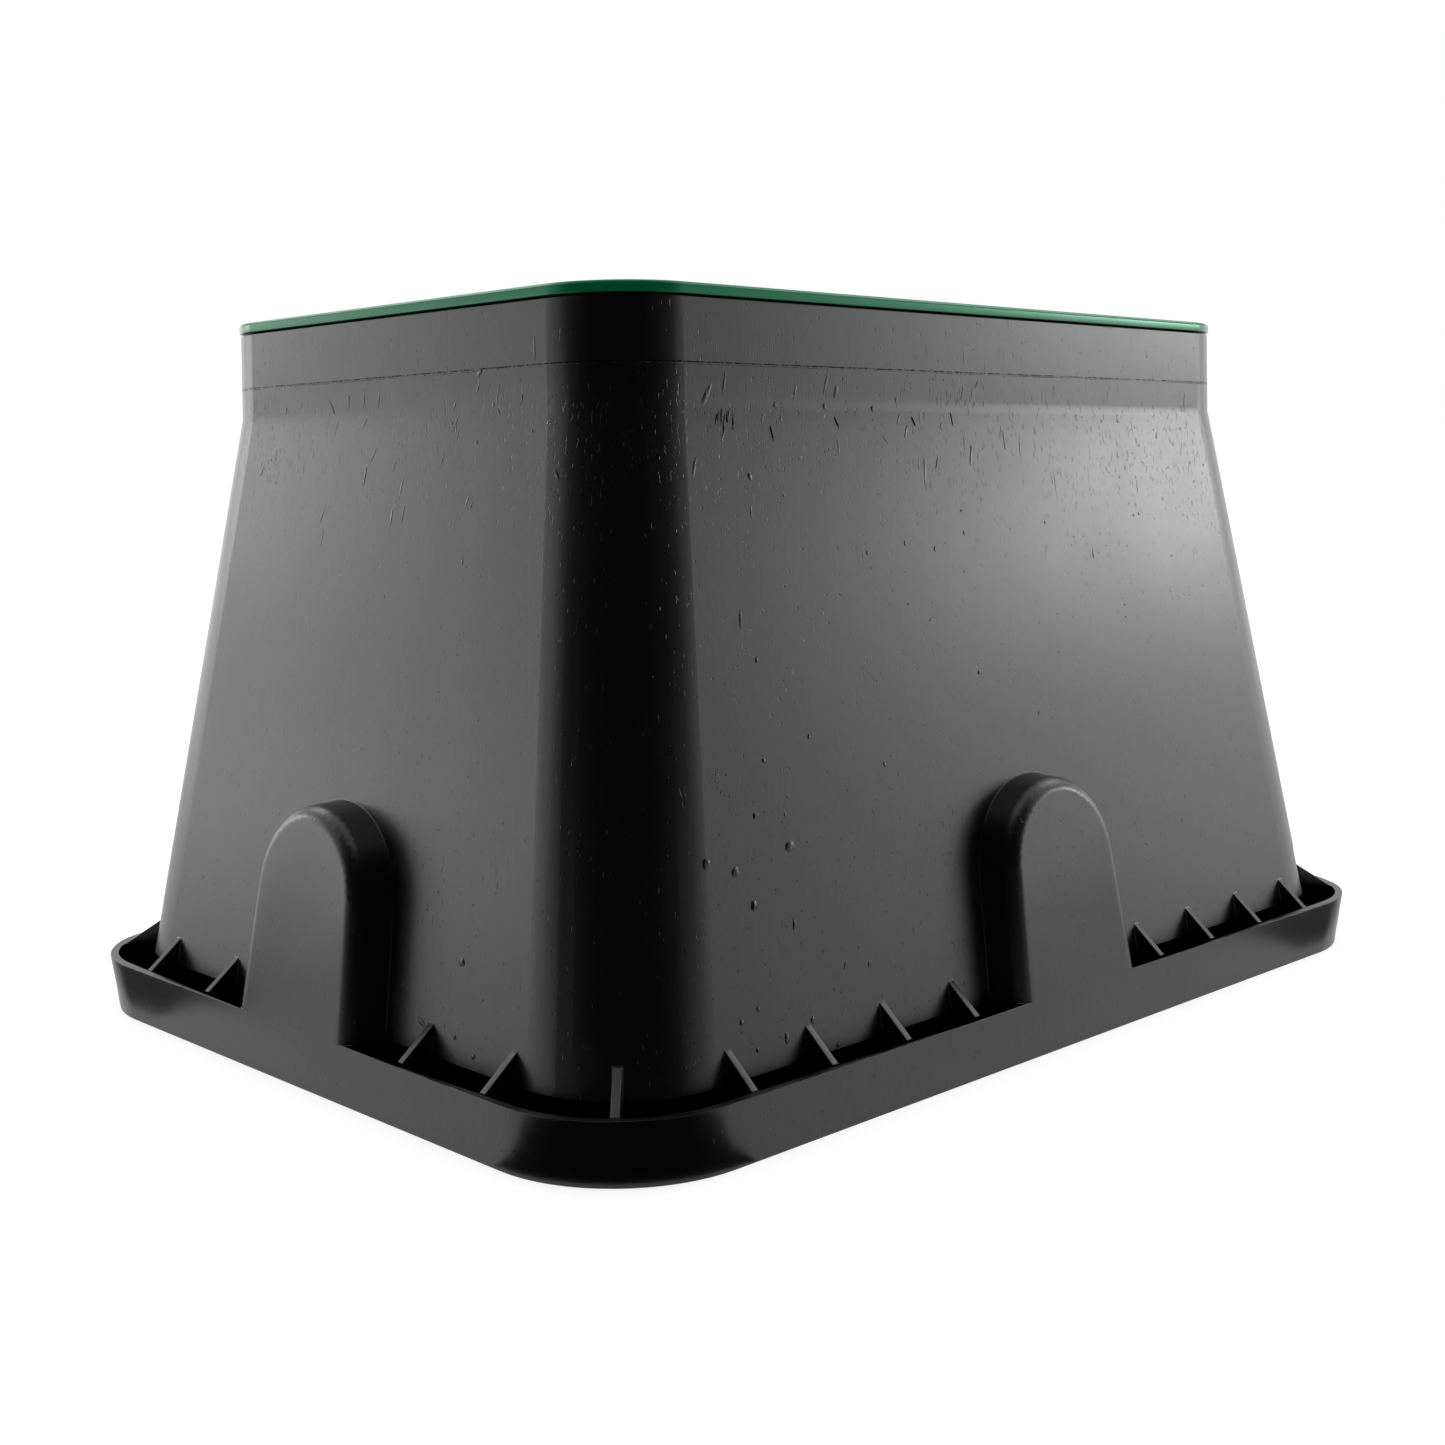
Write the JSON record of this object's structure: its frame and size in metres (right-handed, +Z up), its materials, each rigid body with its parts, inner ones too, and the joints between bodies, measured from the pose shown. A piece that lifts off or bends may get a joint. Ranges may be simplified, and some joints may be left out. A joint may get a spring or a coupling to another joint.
{
  "type": "irrigation valve box",
  "caption": "Rectangular irrigation valve box: a tapered black body with a flanged, gusseted foot and blind pipe arches, under a bolt-down green lid.",
  "frame": {"origin": "centre of the base, in the plane that the box stands on", "axes": "+X along the long side, +Y along the short side, +Z up out of the lid"},
  "size_m": [0.519, 0.3828, 0.3045],
  "materials": {
    "black_body": "satin black moulded polyethylene",
    "green_lid": "semi-gloss green moulded polyethylene",
    "bolt_steel": "plain stainless steel",
    "clip_steel": "zinc-plated spring steel"
  },
  "bodies": {
    "box": {"box_body": "black_body", "clip_nuts": "clip_steel"},
    "lid": {"lid": "green_lid", "bolt_washers": "bolt_steel"},
    "bolt_left": {"lid_bolt_left": "bolt_steel"},
    "bolt_right": {"lid_bolt_right": "bolt_steel"}
  },
  "joints": [
    {"name": "lid_lift", "type": "slide", "parent": "box", "child": "lid", "axis": [0, 0, 1], "range_m": [0, 0.08]},
    {"name": "bolt_left_turn", "type": "hinge", "parent": "lid", "child": "bolt_left", "pos_m": [-0.17628, 0, 0.29], "axis": [0, 0, 1], "continuous": true},
    {"name": "bolt_right_turn", "type": "hinge", "parent": "lid", "child": "bolt_right", "pos_m": [0.17628, 0, 0.29], "axis": [0, 0, 1], "continuous": true}
  ]
}
